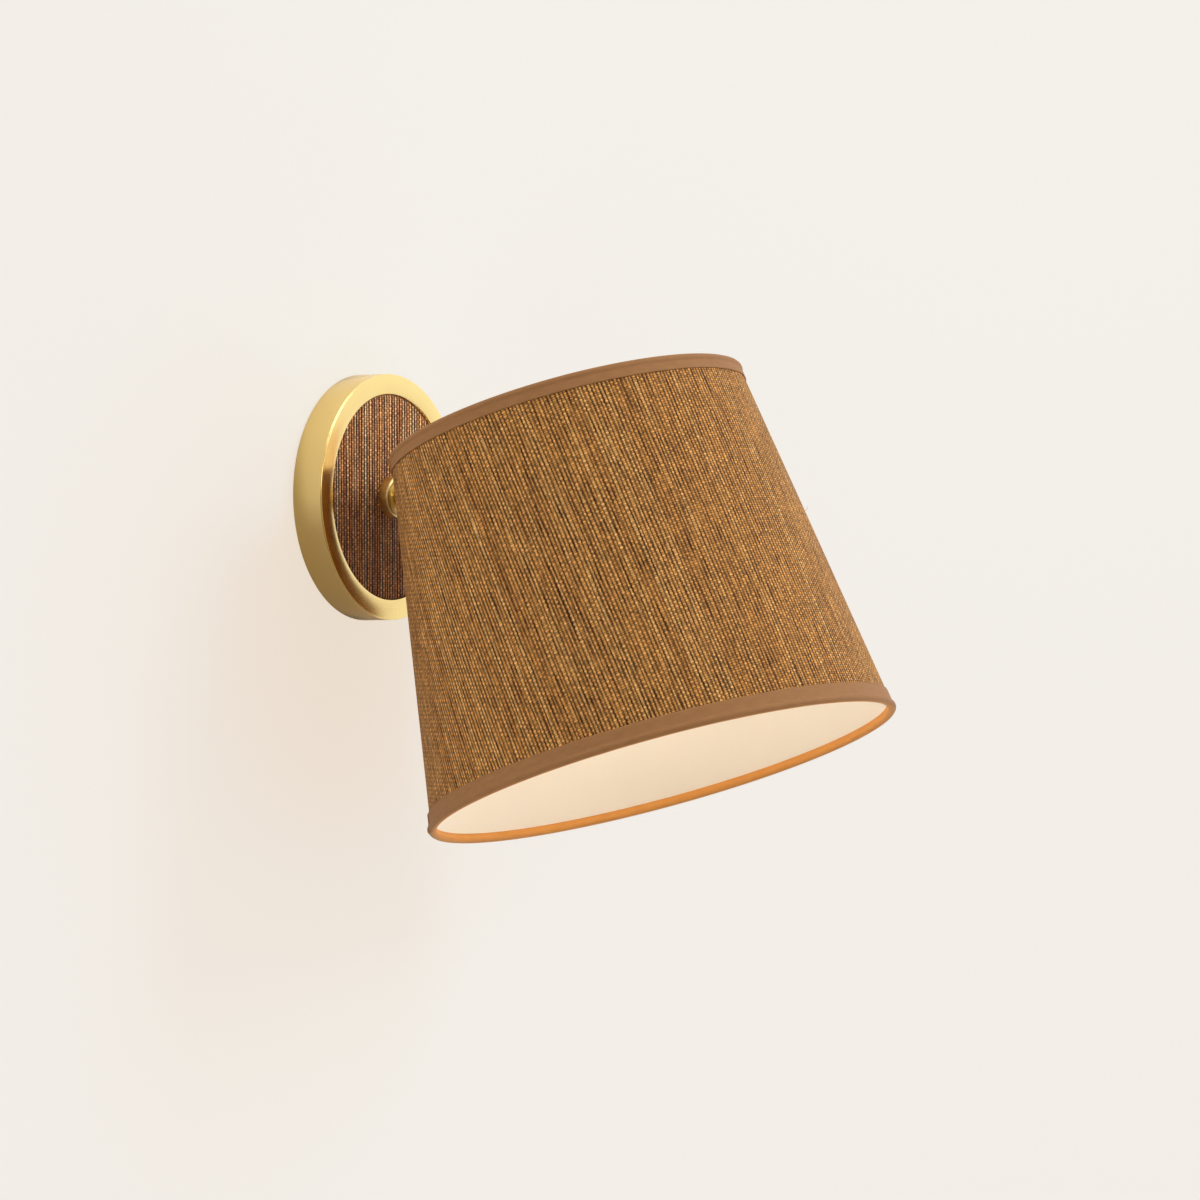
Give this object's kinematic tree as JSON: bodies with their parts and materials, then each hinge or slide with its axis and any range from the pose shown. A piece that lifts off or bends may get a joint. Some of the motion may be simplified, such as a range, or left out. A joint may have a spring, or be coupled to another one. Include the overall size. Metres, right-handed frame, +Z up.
{
  "type": "wall light",
  "caption": "Wall light with a round brass wall plate inlaid with cloth and a woven cone shade that tilts on a short arm.",
  "frame": {"origin": "centre of the wall plate's back, on the wall, which is also the middle of the bracket's two box-screw slots", "axes": "+Y into the wall, +Z up, +X right for someone who faces the wall; the light lies on the -Y side"},
  "size_m": [0.243, 0.2977, 0.2466],
  "materials": {
    "satin_brass": "satin brushed brass",
    "contact_brass": "plain formed brass",
    "zinc_steel": "zinc plated steel",
    "green_screw": "green lacquer on steel",
    "white_wire": "white powder coat on steel wire",
    "inlay_weave": "dark brown woven cloth with pale and copper threads",
    "board": "plain pressed board",
    "shade_weave": "light brown slubby woven cloth, laminated",
    "trim_tape": "tan woven tape, glued and folded over the wire",
    "lining": "smooth cream lining",
    "black_moulding": "black phenolic moulding",
    "nylon": "natural nylon",
    "lead_sleeve": "white insulation",
    "frosted_glass": "frosted white glass",
    "bulb_inside": "white moulding"
  },
  "bodies": {
    "wall_side": {"mounting_bracket": "zinc_steel", "ground_screw": "green_screw", "threaded_nipple": "zinc_steel", "nipple_locknut": "zinc_steel", "wall_plate": "satin_brass", "inlay_board": "board", "inlay_cloth": "inlay_weave", "collar": "satin_brass", "knuckle_fork": "satin_brass", "pivot_screw": "satin_brass", "pivot_nut": "satin_brass", "friction_washers": "nylon"},
    "shade_head": {"arm_eyelet": "satin_brass", "arm_grub_screw": "zinc_steel", "arm_leads": "lead_sleeve", "arm_tube": "satin_brass", "bottom_trim": "trim_tape", "bottom_wire": "white_wire", "centre_contact": "contact_brass", "finial": "satin_brass", "knuckle_tongue": "satin_brass", "lamp_holder": "black_moulding", "screw_shell": "contact_brass", "shade_cover": "shade_weave", "shade_liner": "lining", "socket_cup": "satin_brass", "socket_stud": "zinc_steel", "spider": "white_wire", "terminal_screws": "contact_brass", "top_trim": "trim_tape", "top_wire": "white_wire"},
    "bulb_tip": {"bulb_contact": "contact_brass"},
    "bulb": {"bulb_glass": "frosted_glass", "bulb_cap": "zinc_steel", "bulb_insulator": "black_moulding", "bulb_light_source": "bulb_inside"}
  },
  "joints": [
    {"name": "head_tilt", "type": "hinge", "parent": "wall_side", "child": "shade_head", "pos_m": [0, -0.0315, 0], "axis": [-1, 0, 0], "range_deg": [-17.6, 42.4]},
    {"name": "bulb_travel", "type": "slide", "parent": "shade_head", "child": "bulb_tip", "axis": [0, -0.3024, -0.9532], "range_m": [0, 0.01996]},
    {"name": "bulb_turn", "type": "hinge", "parent": "bulb_tip", "child": "bulb", "pos_m": [0, -0.14249, -0.0162], "axis": [0, -0.3024, -0.9532], "range_deg": [0, 1980]}
  ],
  "couplings": [
    {"joint": "bulb_travel", "follows": "bulb_turn", "m_per_rad": 0.00057757}
  ]
}
